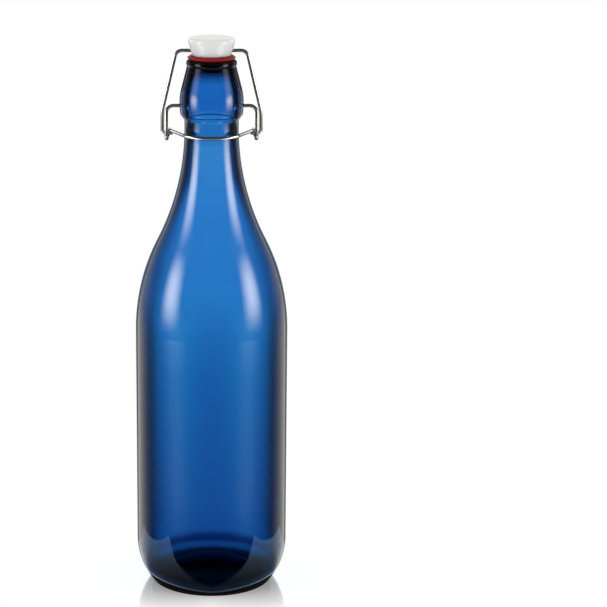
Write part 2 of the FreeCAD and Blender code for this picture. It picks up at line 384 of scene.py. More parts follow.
def mark_section(wire):
    """Keep each vertex's place round the section as a pair of cosine and sine."""
    bpy.ops.object.mode_set(mode="OBJECT")
    section = wire.data.attributes.new("section", "FLOAT_VECTOR", "POINT")
    for i, place in enumerate(section.data):
        angle = math.tau * i / wire_sides
        place.vector = (math.cos(angle), math.sin(angle), 0)
    bpy.ops.object.mode_set(mode="EDIT")
    bpy.ops.mesh.select_all(action="SELECT")


def feed(run):
    if run.length > 0.001 * mm:
        bpy.ops.mesh.extrude_region_move(TRANSFORM_OT_translate={"value": run})


def deburr_ends(wire):
    """Round the rim of both cut ends."""
    bpy.ops.mesh.select_mode(type="FACE")
    bpy.ops.mesh.select_all(action="DESELECT")
    mesh = bmesh.from_edit_mesh(wire.data)
    for face in mesh.faces:
        face.select_set(len(face.verts) == wire_sides)
    bmesh.update_edit_mesh(wire.data)
    bpy.ops.mesh.region_to_loop()
    bpy.ops.mesh.bevel(offset=end_round, segments=3, affect="EDGES")


# %% Helpers that bend a wire
wire_crease = 40
bend_step = math.radians(5)


def bend_wire(name, points, bends):
    """Round wire through corners, with one bend radius for each inner corner and deburred ends."""
    corners = [Vector(p) for p in points]
    facing = Vector((0, 0, 1)).rotation_difference(corners[1] - corners[0]).to_euler()
    wire = start_piece(
        name, bpy.ops.mesh.primitive_circle_add, vertices=wire_sides, radius=wire_radius,
        location=corners[0], rotation=facing)
    mark_section(wire)
    start = corners[0]
    length = 0
    for before, corner, after, bend in zip(corners, corners[1:], corners[2:], bends):
        back = (before - corner).normalized()
        ahead = (after - corner).normalized()
        turn = math.pi - back.angle(ahead)
        reach = bend * math.tan(turn / 2)
        pin = corner + (back + ahead).normalized() * bend / math.cos(turn / 2)
        run = corner + back * reach - start
        feed(run)
        steps = max(2, math.ceil(turn / bend_step))
        bpy.ops.mesh.spin(steps=steps, angle=turn, center=pin, axis=back.cross(ahead).normalized())
        start = corner + ahead * reach
        length += run.length + bend * turn
    feed(corners[-1] - start)
    length += (corners[-1] - start).length
    bpy.ops.mesh.select_all(action="SELECT")
    bpy.ops.mesh.remove_doubles(threshold=0.001 * mm)
    bpy.ops.mesh.fill_holes(sides=0)
    bpy.ops.mesh.normals_make_consistent(inside=False)
    deburr_ends(wire)
    print(name, "is", round(length / mm, 1), "mm of wire")
    return finish_piece(wire, wire_crease)


def both_sides(half):
    """A half wire's points, and the same on the other side in reverse."""
    return half + [Vector((-p.x, p.y, p.z)) for p in reversed(half)]


def packed_size(node):
    low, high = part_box(node)
    return [round(x / mm, 2) for x in high - low]


# %% [markdown]
# ## The locking lever
# Followed from its tip, the lever leaves the dimple, bends down into a leg, makes one turn that is the eye
# for the bail, and runs forward along an arm to the loop in front of the neck, which the thumb pushes. The
# other half is its mirror image, so only one half is written down, as corners with a bend radius each.

# %% Sizes of the lever
wire_diameter = 2 * wire_radius
tip_gap = 0.3 * mm
leg_gap = 7.45 * mm
lever_leg_x = collar_radius + leg_gap
eye_depth = 16.35 * mm
eye_radius = 2.65 * mm
eye_setback = 0.8 * mm
strand_gap = 0.2 * mm
arm_start = 2.0 * mm
loop_gap = 1.05 * mm
loop_reach = collar_radius + loop_gap
loop_drop = 1.9 * mm
loop_front_radius = 23.0 * mm
loop_half_angle = math.radians(36)
loop_corner_run = 1.6 * mm
arm_x = lever_leg_x - wire_diameter - strand_gap
arm_height = pivot.z - eye_depth + eye_radius
eye_low = arm_height - 2 * eye_radius
front_y = eye_setback - eye_radius
rear_y = eye_setback + eye_radius
strand_step = (lever_leg_x - arm_x) / 4
print("the lever's eyes are centred at", round((arm_height - eye_radius) / mm, 2), "mm")

# %% Bend the lever
tip_bend = 4.2 * mm
leg_bend = 8.0 * mm
eye_bend = 2.4 * mm
arm_bend = 5.0 * mm
loop_bend = 6.0 * mm
apex_y = loop_front_radius - loop_reach - loop_front_radius / math.cos(loop_half_angle)
loop_run = loop_front_radius * math.tan(loop_half_angle) + loop_corner_run
loop_slope = loop_drop / (loop_reach - arm_start)


def on_loop(x, y):
    """Point of the loop's plane, which drops towards the front."""
    return Vector((x, y, arm_height + loop_slope * (y + arm_start)))


lever_half = [
    Vector((dimple_floor + tip_gap, 0, pivot.z)),
    Vector((lever_leg_x, 0, pivot.z)),
    Vector((lever_leg_x, front_y, arm_height)),
    Vector((lever_leg_x, front_y, eye_low)),
    Vector((lever_leg_x - strand_step, rear_y, eye_low)),
    Vector((arm_x + strand_step, rear_y, arm_height)),
    Vector((arm_x, -arm_start, arm_height)),
    on_loop(loop_run * math.cos(loop_half_angle), apex_y + loop_run * math.sin(loop_half_angle)),
]
lever_bends = [tip_bend, leg_bend, eye_bend, eye_bend, eye_bend, arm_bend, loop_bend]
lever_points = both_sides(lever_half)
lever_points.insert(len(lever_half), on_loop(0, apex_y))
lever = bend_wire("locking_lever", lever_points, lever_bends + [loop_front_radius] + lever_bends[::-1])
print("packed lever measures", packed_size("lever_wire"), "mm")

# %% [markdown]
# ## The bail
# The bail's short pins hang in the lever's eyes. Its legs rise beside the collar, lean in at a knee, and
# the straight bar between them goes through the stopper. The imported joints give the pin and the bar.

# %% Bend the bail
head_foot_radius = 10.9 * mm
head_flare = 2.15 * mm
head_radius = head_foot_radius + head_flare
bail_leg_gap = 0.35 * mm
bail_leg_x = lever_leg_x + wire_diameter + bail_leg_gap
bail_knee_height = 12.4 * mm
bail_corner_gap = 6.75 * mm
bail_corner_x = head_radius + bail_corner_gap
pin_overhang = 0.4 * mm
pin_bend = 2.0 * mm
knee_bend = 20.0 * mm
bar_bend = 4.0 * mm
bail_pin = joint_place("bail_swing")
bail_bar = joint_place("stopper_tilt")


def on_bail(x, height):
    """Point of the bail's plane, at a height above its pins."""
    share = height / (bail_bar.z - bail_pin.z)
    return Vector((x, bail_pin.y * (1 - share), bail_pin.z + height))


bail_half = [
    on_bail(arm_x - wire_radius - pin_overhang, 0),
    on_bail(bail_leg_x, 0),
    on_bail(bail_leg_x, bail_knee_height),
    on_bail(bail_corner_x, bail_bar.z - bail_pin.z),
]
bail_bends = [pin_bend, knee_bend, bar_bend]
bail = bend_wire("stopper_bail", both_sides(bail_half), bail_bends + bail_bends[::-1])
print("packed bail measures", packed_size("bail_wire"), "mm")

# %% [markdown]
# ## The stopper
# The stopper is one white moulding: a head that flares to a band, a stem that carries the rubber ring, and
# a nub that centres it in the mouth. It is turned like the bottle, its edges are rounded with bevels, and
# the bail's hole is cut across it. The top is dished by a few tenths of a millimetre, as mouldings are
# where they shrink.

# %% Sizes of the stopper
band_height = 3.1 * mm
dish_rim = 4.2 * mm
dish_floor_share = 0.55
dish_depth = 0.3 * mm
nub_clearance = 1.5 * mm
nub_point = 2.0 * mm
nub_taper = 1.4 * mm
nub_length = 6.9 * mm
stem_step = 1.0 * mm
stem_gap = 0.15 * mm
gasket_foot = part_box("gasket")[0].z
head_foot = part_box("gasket")[1].z
head_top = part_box("stopper")[1].z
band_foot = head_top - band_height
dish_radius = head_radius - dish_rim
dish_floor_radius = dish_floor_share * dish_radius
nub_radius = mouth_radius - nub_clearance
nub_tip_radius = nub_radius - nub_point
stem_radius = nub_radius - stem_step
stem_foot = gasket_foot - stem_gap
nub_foot = stem_foot - nub_length
print("stopper is", round(2 * head_radius / mm, 1), "mm across, from", round(nub_foot / mm, 1), "mm up")

# %% Draw the stopper
stopper = start_profile("stopper_head", 0, nub_foot)
straight_to(stopper, nub_tip_radius, nub_foot)
straight_to(stopper, nub_radius, stem_foot - nub_taper)
straight_to(stopper, nub_radius, stem_foot)
straight_to(stopper, stem_radius, stem_foot)
straight_to(stopper, stem_radius, head_foot)
straight_to(stopper, head_foot_radius, head_foot)
straight_to(stopper, head_radius, band_foot)
straight_to(stopper, head_radius, head_top)
straight_to(stopper, dish_radius, head_top)
straight_to(stopper, dish_floor_radius, head_top - dish_depth)
straight_to(stopper, 0, head_top - dish_depth)
print("stopper drawn to", [round(x / mm, 3) for x in pen(stopper)])

# %% Turn the stopper, round its edges and cut the hole
ring_steps = 128
ring_crease = 35
head_edge_round = 1.8 * mm
head_waist_round = 3.0 * mm
head_foot_round = 0.4 * mm
dish_round = 25 * mm
nub_edge_round = 0.5 * mm
nub_corner = 70
bar_clearance = 0.1 * mm
turn_profile(ring_steps)
flare_turn = math.degrees(math.atan2(head_radius - head_foot_radius, band_foot - head_foot))
dish_turn = math.degrees(math.atan2(dish_depth, dish_radius - dish_floor_radius))
round_ring(stopper, head_radius, head_top, head_edge_round, square_corner, segments=8)
round_ring(stopper, head_radius, band_foot, head_waist_round, flare_turn, segments=4)
round_ring(stopper, head_foot_radius, head_foot, head_foot_round, square_corner - flare_turn, segments=3)
round_ring(stopper, dish_radius, head_top, dish_round, dish_turn, segments=4)
round_ring(stopper, dish_floor_radius, head_top - dish_depth, dish_round, dish_turn, segments=4)
round_ring(stopper, nub_tip_radius, nub_foot, nub_edge_round, nub_corner, segments=3)
bpy.ops.object.mode_set(mode="OBJECT")
cross_hole = start_piece(
    "hole_cutter", bpy.ops.mesh.primitive_cylinder_add, vertices=48, radius=wire_radius + bar_clearance,
    depth=3 * head_radius, location=(0, 0, bail_bar.z), rotation=(0, math.pi / 2, 0))
cut_away(stopper, cross_hole)
finish_piece(stopper, ring_crease)

# %% [markdown]
# ## The gasket
# The red ring is soft rubber that seals on the lip. It is widest a little above its foot: it tapers in
# below, towards the mouth, and above, towards the stopper's head. It is turned from that section, and its
# edges are rounded, so that the light breaks on a soft rim.

# %% Turn the gasket
gasket_inset = 0.35 * mm
stem_clearance = 0.05 * mm
rim_height = 1.5 * mm
foot_taper = 2.3 * mm
top_taper = 1.7 * mm
gasket_radius = lip_radius - gasket_inset
gasket_hole = stem_radius + stem_clearance
gasket_rim = gasket_foot + rim_height
gasket_foot_radius = gasket_radius - foot_taper
gasket_top_radius = gasket_radius - top_taper
gasket_rim_round = 0.5 * mm
gasket_face_round = 0.8 * mm
rim_corner = 108
foot_corner = 33
top_corner = 38
gasket = start_profile("gasket_ring", gasket_hole, gasket_foot)
straight_to(gasket, gasket_foot_radius, gasket_foot)
straight_to(gasket, gasket_radius, gasket_rim)
straight_to(gasket, gasket_top_radius, head_foot)
straight_to(gasket, gasket_hole, head_foot)
straight_to(gasket, gasket_hole, gasket_foot)
turn_profile(ring_steps)
round_ring(gasket, gasket_radius, gasket_rim, gasket_rim_round, rim_corner)
round_ring(gasket, gasket_foot_radius, gasket_foot, gasket_face_round, foot_corner)
round_ring(gasket, gasket_top_radius, head_foot, gasket_face_round, top_corner)
finish_piece(gasket, ring_crease)

# %% [markdown]
# ## Building materials from nodes
# All finishes are procedural. One helper adds a node and fills its inputs in order, which keeps a material
# readable as a list of steps. Others stand for nodes that are used often: Math, Map Range and Mix. A range
# is written as a pair, from its low to its high end.


# %% Helpers for nodes
def fill(tree, sockets, values):
    """Fill sockets in order with values or with other nodes' outputs. None leaves a socket as it is."""
    for socket, value in zip(sockets, values):
        if isinstance(value, bpy.types.NodeSocket):
            tree.links.new(value, socket)
        elif value is not None:
            socket.default_value = value


def place_node(tree, kind, *inputs, **settings):
    """Add a node, set its properties and fill its inputs."""
    node = tree.nodes.new(kind)
    for name, value in settings.items():
        setattr(node, name, value)
    fill(tree, node.inputs, inputs)
    return node


def maths(tree, operation, *values):
    return place_node(tree, "ShaderNodeMath", *values, operation=operation).outputs[0]


def product(tree, first, *others):
    for other in others:
        first = maths(tree, "MULTIPLY", first, other)
    return first


def spread(tree, value, ends, to_low, to_high, smooth=False):
    """Map a value from the range between two ends to another range, held at both ends."""
    kind = "SMOOTHSTEP" if smooth else "LINEAR"
    ranged = place_node(
        tree, "ShaderNodeMapRange", value, *ends, to_low, to_high, interpolation_type=kind)
    return ranged.outputs[0]


def blend_colours(tree, share, first, second, blend="MIX"):
    mixed = place_node(tree, "ShaderNodeMix", share, data_type="RGBA", blend_type=blend)
    fill(tree, mixed.inputs[6:8], (first, second))
    return mixed.outputs[2]


def axes(tree, vector):
    return place_node(tree, "ShaderNodeSeparateXYZ", vector).outputs


# %% Helpers for a material
def new_material(name):
    """A material with an empty Principled BSDF, and the place on the piece as Object coordinates."""
    material = bpy.data.materials.new(name)
    material.use_nodes = True
    tree = material.node_tree
    tree.nodes.clear()
    shader = tree.nodes.new("ShaderNodeBsdfPrincipled")
    output = tree.nodes.new("ShaderNodeOutputMaterial")
    tree.links.new(shader.outputs[0], output.inputs["Surface"])
    place = tree.nodes.new("ShaderNodeTexCoord").outputs["Object"]
    return material, tree, shader, output, place


def join(tree, value, shader, name):
    tree.links.new(value, shader.inputs[name])


def bump(tree, shader, height, depth):
    """Let a height of a real depth in metres tilt the surface."""
    node = tree.nodes.new("ShaderNodeBump")
    node.inputs["Distance"].default_value = depth
    tree.links.new(height, node.inputs["Height"])
    join(tree, node.outputs[0], shader, "Normal")


# %% [markdown]
# ## Unevenness that all finishes share
# No made surface is quite even. A cloudy value, for slow changes of colour, gloss and height, is built once
# as a node group and placed in each material with a scale and a range of its own.

# %% Node group for a cloudy value
cloudy = bpy.data.node_groups.new("cloudy_unevenness", "ShaderNodeTree")
cloudy.interface.new_socket("Place", in_out="INPUT", socket_type="NodeSocketVector")
for title in ("Scale", "Low", "High"):
    cloudy.interface.new_socket(title, in_out="INPUT", socket_type="NodeSocketFloat")
cloudy.interface.new_socket("Value", in_out="OUTPUT", socket_type="NodeSocketFloat")
entry = cloudy.nodes.new("NodeGroupInput").outputs
leave = cloudy.nodes.new("NodeGroupOutput").inputs
cloud_detail = 3.0
cloud_roughness = 0.55
cloud_ends = (0.3, 0.7)
cloud = place_node(
    cloudy, "ShaderNodeTexNoise", entry["Place"], None, entry["Scale"], cloud_detail, cloud_roughness)
cloud_value = spread(cloudy, cloud.outputs[0], cloud_ends, entry["Low"], entry["High"])
cloudy.links.new(cloud_value, leave["Value"])


def cloudy_value(tree, place, scale, low, high):
    group = place_node(tree, "ShaderNodeGroup", place, scale, low, high, node_tree=cloudy)
    return group.outputs[0]


print("node groups:", [g.name for g in bpy.data.node_groups])

# %% [markdown]
# ## Blue glass: tints and painted shade by height
# Glass is clear at its surface and coloured all through, so the blue is a volume that absorbs: thick walls
# turn dark and thin ones stay light, by themselves. The photograph also shows the body deeper in colour
# than the shoulder, a dark ring at the heel and a dark lip under the stopper. The tint grows darker towards
# the bottom. The dark ring at the heel, a darker band on the neck below the collar and the dark lip are
# painted shade. All are tints of the surface, on a colour ramp up the bottle, whose stops are shares of the
# bottle's height. Light that crosses the bottle meets four surfaces, and each takes up a part of the tint.

# %% Tint the glass by height
glass_finish, tree, shader, output, place = new_material("blue_glass_finish")
rise = axes(tree, place)["Z"]
height = spread(tree, rise, (0, lip_top), 0, 1)


def ramp(tree, share, stops):
    """Colour ramp with stops of a share and a colour each."""
    node = place_node(tree, "ShaderNodeValToRGB", share)
    elements = node.color_ramp.elements
    while len(elements) < len(stops):
        elements.new(0.5)
    for element, (position, colour) in zip(elements, stops):
        element.position = position
        element.color = (*colour, 1)
    return node.outputs[0]


# The stops at 0.027 to 0.034 paint shade as the dark ring at the heel, those at 0.855 to 0.889 paint shade on
# the neck below the collar, and the stop at 0.980 paints the shade of the dark lip.
tints_and_painted_shade = [
    (0.021, (0.170, 0.335, 0.615)),
    (0.027, (0.018, 0.066, 0.225)),
    (0.034, (0.018, 0.066, 0.225)),
    (0.045, (0.160, 0.325, 0.605)),
    (0.12, (0.176, 0.350, 0.625)),
    (0.33, (0.182, 0.436, 0.714)),
    (0.44, (0.20, 0.49, 0.76)),
    (0.53, (0.29, 0.62, 0.89)),
    (0.70, (0.34, 0.66, 0.94)),
    (0.845, (0.43, 0.72, 0.95)),
    (0.855, (0.28, 0.60, 0.86)),
    (0.889, (0.28, 0.60, 0.86)),
    (0.894, (0.47, 0.74, 0.955)),
    (0.962, (0.40, 0.68, 0.93)),
    (0.980, (0.04, 0.07, 0.12)),
]
cloud_tint = (0.15, 0.32, 0.55, 1)
cloud_share = cloudy_value(tree, place, scale=45.0, low=0.0, high=0.06)
tint_and_painted_light = blend_colours(tree, cloud_share, ramp(tree, height, tints_and_painted_shade), cloud_tint)
print("glass tints at heights of", [round(p * lip_top / mm) for p, _ in tints_and_painted_shade], "mm")

# %% [markdown]
# ## Blue glass: painted lines in the collar
# Where the collar steps in to the neck, the real glass shows thin bright and dark lines all round, made by
# light that the step refracts. Here they are painted highlight and painted shade, rings of a few tenths of a
# millimetre. A ramp is stored in a few hundred steps, so a ramp over the whole bottle would lose them, and
# they get one of their own that spans five millimetres. It multiplies the tint on the outer skin only.

# %% Paint the collar's lines of highlight and shade
collar_span = (273.0 * mm, 278.0 * mm)
outer_skin_ends = (neck_radius - 0.8 * mm, neck_radius - 0.3 * mm)
plain = (1.0, 1.0, 1.0)
# light paints a highlight and dark paints shade, both as multipliers of the tint.
light = (2.1, 1.35, 1.04)
dark = (0.01, 0.28, 0.38)
painted_collar_lines = [
    (0.00, plain), (0.05, light), (0.15, light), (0.22, plain), (0.40, plain), (0.46, light),
    (0.55, light), (0.59, dark), (0.70, dark), (0.74, light), (0.88, light), (0.97, plain),
]
flat_place = place_node(tree, "ShaderNodeVectorMath", place, (1, 1, 0), operation="MULTIPLY").outputs[0]
from_axis = place_node(tree, "ShaderNodeVectorMath", flat_place, operation="LENGTH").outputs["Value"]
outer_skin = spread(tree, from_axis, outer_skin_ends, 0, 1)
lines = ramp(tree, spread(tree, rise, collar_span, 0, 1), painted_collar_lines)
tint_and_painted_light = blend_colours(tree, outer_skin, tint_and_painted_light, lines, "MULTIPLY")
print("collar lines over", round((collar_span[1] - collar_span[0]) / mm, 1), "mm")

# %% [markdown]
# ## Blue glass: painted glow and painted dark edges
# Seen straight on, the body is deep blue. A little to each side, where the light passes the back wall at a
# slant, a painted glow makes it lighter, and towards the outline painted shade makes it dark, standing for
# the long way through the wall. Layer Weight gives the slant. The edge's own tints change with the height
# too, and a shift by height makes the dark edge wider on the neck and narrower on the upper shoulder and at
# the collar's foot.

# %% Paint the body's glow
glow_rise = (0.025, 0.085)
glow_fall = (0.15, 0.25)
glow_top = (0.46, 0.56)
painted_glow_tint = (1.0, 1.26, 1.10, 1)
even_blend = 0.5
slant = place_node(tree, "ShaderNodeLayerWeight", even_blend).outputs["Facing"]
# A painted glow: the tint is made lighter at a slant, as a painted highlight on the body.
painted_glow = product(
    tree, spread(tree, slant, glow_rise, 0, 1, smooth=True),
    spread(tree, slant, glow_fall, 1, 0, smooth=True), spread(tree, height, glow_top, 1, 0))
tint_and_painted_light = blend_colours(tree, painted_glow, tint_and_painted_light, painted_glow_tint, "MULTIPLY")
print("the body glows up to", round(glow_top[1] * lip_top / mm), "mm")

# %% Paint shade on the edges
edge_ends = (0.22, 0.52)
no_shift = 0.5
slant_shifts = [
    (0.61, 0.50), (0.66, 0.42), (0.74, 0.42), (0.800, 0.55), (0.845, 0.56), (0.855, 0.58),
    (0.886, 0.62), (0.891, 0.24), (0.901, 0.24), (0.906, 0.50),
]
painted_edge_tints = [
    (0.0, (0.035, 0.075, 0.130)),
    (0.40, (0.040, 0.095, 0.150)),
    (0.50, (0.055, 0.14, 0.23)),
    (0.56, (0.10, 0.26, 0.43)),
    (0.64, (0.12, 0.30, 0.48)),
    (0.69, (0.12, 0.30, 0.48)),
    (0.77, (0.025, 0.055, 0.140)),
    (0.845, (0.025, 0.055, 0.140)),
    (0.855, (0.008, 0.013, 0.020)),
    (0.889, (0.008, 0.013, 0.020)),
    (0.897, (0.30, 0.50, 0.60)),
    (0.96, (0.30, 0.50, 0.60)),
    (0.984, (0.010, 0.014, 0.020)),
]
grey_shifts = [(share, (shift, shift, shift)) for share, shift in slant_shifts]
slant_shift = maths(tree, "SUBTRACT", ramp(tree, height, grey_shifts), no_shift)
# Painted shade along the outline, darker as the slant grows.
edge = spread(tree, maths(tree, "ADD", slant, slant_shift), edge_ends, 0, 1, smooth=True)
join(tree, blend_colours(tree, edge, tint_and_painted_light, ramp(tree, height, painted_edge_tints)), shader, "Base Color")
print("edge tints at heights of", [round(p * lip_top / mm) for p, _ in painted_edge_tints], "mm")

# %% [markdown]
# ## Blue glass: surface and volume
# The surface is polished and lets all light in. Blown glass is never quite even, and a very low bump makes
# the light in it waver. The volume takes red out of the light first, then green, and little blue.

# %% Finish the glass
waver_depth = 0.01 * mm
bump(tree, shader, cloudy_value(tree, place, scale=60.0, low=0.0, high=1.0), waver_depth)
shader.inputs["Roughness"].default_value = 0.0
shader.inputs["IOR"].default_value = 1.5
shader.inputs["Transmission Weight"].default_value = 1.0
absorption = tree.nodes.new("ShaderNodeVolumeAbsorption")
absorption.inputs["Color"].default_value = (0.167, 0.633, 0.867, 1)
absorption.inputs["Density"].default_value = 300.0
tree.links.new(absorption.outputs[0], output.inputs["Volume"])
print("glass uses", len(tree.nodes), "nodes")

# %% [markdown]
# ## Drawn steel
# The wire is pulled through a die, which leaves fine lines along it. They depend only on the place round
# the section, so the noise reads the attribute that the wire has carried along, and not the place in space.

# %% Material of the wires
line_scale = 7.0
line_detail = 3.0
line_roughness = 0.6
line_depth = 0.012 * mm
line_dark = (0.30, 0.305, 0.32, 1)
line_light = (0.52, 0.53, 0.56, 1)
dulled = (0.48, 0.48, 0.48, 1)
steel_finish, tree, shader, output, place = new_material("drawn_steel_finish")
section = place_node(tree, "ShaderNodeAttribute", attribute_name="section").outputs["Vector"]
drawn = place_node(
    tree, "ShaderNodeTexNoise", section, None, line_scale, line_detail, line_roughness).outputs[0]
steel = blend_colours(tree, drawn, line_dark, line_light)
wear = cloudy_value(tree, place, scale=180.0, low=0.0, high=0.25)
join(tree, blend_colours(tree, wear, steel, dulled), shader, "Base Color")
join(tree, cloudy_value(tree, place, scale=260.0, low=0.10, high=0.20), shader, "Roughness")
bump(tree, shader, drawn, line_depth)
shader.inputs["Metallic"].default_value = 1.0
print("steel uses", len(tree.nodes), "nodes")

# %% [markdown]
# ## White moulding and red rubber
# The stopper is a smooth white moulding with a soft gloss, and the ring is satin rubber. Both take the
# cloudy unevenness in colour and gloss, at scales of their own, so that neither is one flat colour. The
# rubber also gets a fine grain with small pits, as a bump of a thousandth of a millimetre.


# %% Materials of the stopper and the gasket
def moulded_finish(name, light, dark, cloud_scale, rough_low, rough_high, gloss):
    """Finish of a moulded piece, with a soft gloss."""
    material, tree, shader, output, place = new_material(name)
    shade = cloudy_value(tree, place, cloud_scale, 0.0, 1.0)
    join(tree, blend_colours(tree, shade, light, dark), shader, "Base Color")
    join(tree, cloudy_value(tree, place, 3 * cloud_scale, rough_low, rough_high), shader, "Roughness")
    shader.inputs["Specular IOR Level"].default_value = gloss
    return material, tree, shader, place


stopper_finish, tree, shader, place = moulded_finish(
    "white_moulding_finish", light=(0.87, 0.87, 0.86, 1), dark=(0.85, 0.85, 0.84, 1), cloud_scale=60.0,
    rough_low=0.26, rough_high=0.29, gloss=0.4)
gasket_finish, tree, shader, place = moulded_finish(
    "red_rubber_finish", light=(0.28, 0.011, 0.015, 1), dark=(0.21, 0.006, 0.009, 1), cloud_scale=160.0,
    rough_low=0.38, rough_high=0.55, gloss=0.2)
grain_scale = 4000.0
grain_depth = 0.001 * mm
pit_share = 0.35
fine = place_node(tree, "ShaderNodeTexNoise", place, None, grain_scale, 2.0, 0.5).outputs[0]
pits = place_node(tree, "ShaderNodeTexVoronoi", place, None, grain_scale).outputs["Distance"]
bump(tree, shader, maths(tree, "MULTIPLY_ADD", pits, pit_share, fine), grain_depth)
print("rubber uses", len(tree.nodes), "nodes")

# %% [markdown]
# ## Putting the pieces on their bodies
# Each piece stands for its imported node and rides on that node's body, so that lever, bail and stopper swing
# in the viewer as they do in the simulation.

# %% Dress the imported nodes
dressing = [
    (glass, "bottle", "glass_bottle", "blue_glass", glass_finish),
    (lever, "lever", "lever_wire", "steel_wire", steel_finish),
    (bail, "bail", "bail_wire", "steel_wire", steel_finish),
    (stopper, "closure", "stopper", "white_stopper", stopper_finish),
    (gasket, "closure", "gasket", "red_rubber", gasket_finish),
]
for piece, body, cad_node, slot, finish in dressing:
    piece.data.materials.clear()
    piece.data.materials.append(finish)
    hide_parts(cad_node)
    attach(piece, body)
    print(piece.name, "rides on", body, "for", cad_node)

# %% [markdown]
# ## Camera
# The camera looks down a little from the front. Its place, its lens and the small sideways shift were
# fitted to the ellipses of stopper, collar and base and to the outline in the photograph, where the bottle
# stands left of the middle.

# %% Set the camera
camera_place = (0, -1.25495, 0.48657)
camera_tilt = 0.25
bpy.ops.object.select_all(action="DESELECT")
bpy.ops.object.camera_add(location=camera_place, rotation=(math.pi / 2 - camera_tilt, 0, 0))
camera = bpy.context.object
camera.name = "photo_camera"
camera.data.sensor_width = 36
camera.data.lens = 133.24
camera.data.shift_x = 0.1514
bpy.context.scene.camera = camera
print("camera at", list(camera.location))

# %% [markdown]
# ## Studio: what each ray sees
# Clear glass shows what is round it. A white background makes it glow, and dark surroundings draw its
# edges. In a studio that is done with black and white cards out of the picture. Here the world does it with
# Light Path: straight views and straight looks through the glass see white, light that has bounced inside
# the wall finds the dark, and what polished glass or rough steel mirrors has a brightness of its own.
# Directions are read from the world's coordinates, where Y points to the back and Z up.

# %% Brightness for each kind of ray
white_level = 1.0
shaded_level = 0.01
ambient_ends = (-0.6, 0.1)
ambient_low = 0.84
ambient_high = 0.87
off_on = (0, 1)


def light_path(tree):
    return tree.nodes.new("ShaderNodeLightPath").outputs


def polished_ray(tree):
    """1 for a ray that polished glass mirrors, and 0 for all others."""
    path = light_path(tree)
    sharp = maths(tree, "MULTIPLY", path["Is Glossy Ray"], path["Is Singular Ray"])
    return maths(tree, "SUBTRACT", sharp, path["Is Transmission Ray"])


def studio_level(tree, above, mirrored, rough, bounced):
    """The studio's brightness by the kind of ray: mirrored, rough, through glass, bounced or diffuse."""
    path = light_path(tree)
    glossy = spread(tree, path["Is Singular Ray"], off_on, rough, mirrored)
    inside = spread(tree, path["Glossy Depth"], off_on, white_level, bounced)
    through = spread(tree, path["Diffuse Depth"], off_on, inside, shaded_level)
    ambient = spread(tree, above, ambient_ends, ambient_low, ambient_high)
    level = spread(tree, path["Is Glossy Ray"], off_on, ambient, glossy)
    level = spread(tree, path["Is Transmission Ray"], off_on, level, through)
    return spread(tree, path["Is Camera Ray"], off_on, level, white_level)


# %% Start the world
world = bpy.data.worlds.new("studio")
bpy.context.scene.world = world
world.use_nodes = True
tree = world.node_tree
tree.nodes.clear()
heading = axes(tree, tree.nodes.new("ShaderNodeTexCoord").outputs["Generated"])
print("world is", world.name)

# %% [markdown]
# ## Studio: what polished glass mirrors
# Mirrored in the glass are a bright backdrop behind the bottle, which lights the outline at a grazing
# angle, a dim gap in it straight behind, which draws the thin dark line along the outline, a pale card at
# each side in front, and darkness between. Upwards all of it leans back. Above the table, what is mirrored
# is a little cooler than white.

# %% Mirrored level
backdrop_ends = (0.20, 0.88)
backdrop_level = 1.05
gap_ends = (0.83, 0.89)
gap_level = 0.12
backdrop_foot = (-0.56, -0.43)
foot_level = 0.2
backdrop_upper = (-0.21, -0.12)
upper_level = 0.72
flank_ends = (-0.60, -0.10)
dark_level = 0.03
flank_level = 0.10
card_rise = (-0.84, -0.60)
card_fall = (-0.50, -0.17)
card_level = 0.36
lean_ends = (0.0, 0.2)


def side_cards(tree, behind):
    """1 where a pale card stands at each side in front of the bottle, and 0 elsewhere."""
    rising = spread(tree, behind, card_rise, 0, 1, smooth=True)
    return product(tree, rising, spread(tree, behind, card_fall, 1, 0, smooth=True))


lean = spread(tree, heading["Z"], lean_ends, 0, lean_ends[1])
behind = maths(tree, "SUBTRACT", heading["Y"], lean)
backdrop = product(
    tree, spread(tree, behind, backdrop_ends, 0, backdrop_level, smooth=True),
    spread(tree, heading["Z"], backdrop_foot, foot_level, 1),
    spread(tree, heading["Z"], backdrop_upper, 1, upper_level),
    spread(tree, behind, gap_ends, 1, gap_level, smooth=True))
flank = spread(tree, behind, flank_ends, dark_level, flank_level, smooth=True)
cards = maths(tree, "MULTIPLY_ADD", side_cards(tree, behind), card_level, flank)
mirrored = maths(tree, "ADD", backdrop, cards)
print("backdrop of", backdrop_level, "and side cards of", card_level)

# %% [markdown]
# ## Studio: what rough surfaces mirror
# The steel and the stopper spread their reflections. For them the front is dark, the back is white up to
# half height, and below the horizon it is dim, so that each wire has a dark core and light edges. A strong
# kicker at each side, a little behind the bottle, lights above all the lever's slanting arms.

# %% Rough level
rough_dark = 0.08
rough_floor = 0.16
rough_back = (0.3, 0.8)
rough_top = (0.42, 0.65)
horizon = (-0.06, 0.06)
kicker_side = (0.58, 0.72)
kicker_level = 2.6
kicker_windows = (
    ("Y", (0.20, 0.34), 0, 1),
    ("Y", (0.62, 0.75), 1, 0),
    ("Z", (-0.24, -0.06), 0, 1),
    ("Z", (0.50, 0.70), 1, 0),
)
rough = spread(tree, heading["Y"], rough_back, rough_dark, white_level, smooth=True)
rough = spread(tree, heading["Z"], rough_top, rough, rough_dark)
rough = spread(tree, heading["Z"], horizon, rough_floor, rough)
kicker = spread(tree, maths(tree, "ABSOLUTE", heading["X"]), kicker_side, 0, kicker_level)
for axis, ends, from_level, to_level in kicker_windows:
    kicker = product(tree, kicker, spread(tree, heading[axis], ends, from_level, to_level))
rough = maths(tree, "ADD", rough, kicker)
print("kickers of", kicker_level)

# %% [markdown]
# ## Studio: light inside the wall, and the sky
# Light that was mirrored inside the wall and still leaves straight to the back meets the backdrop, which
# gives the collar its navy blue edges. All other light that has bounced inside finds the dark.

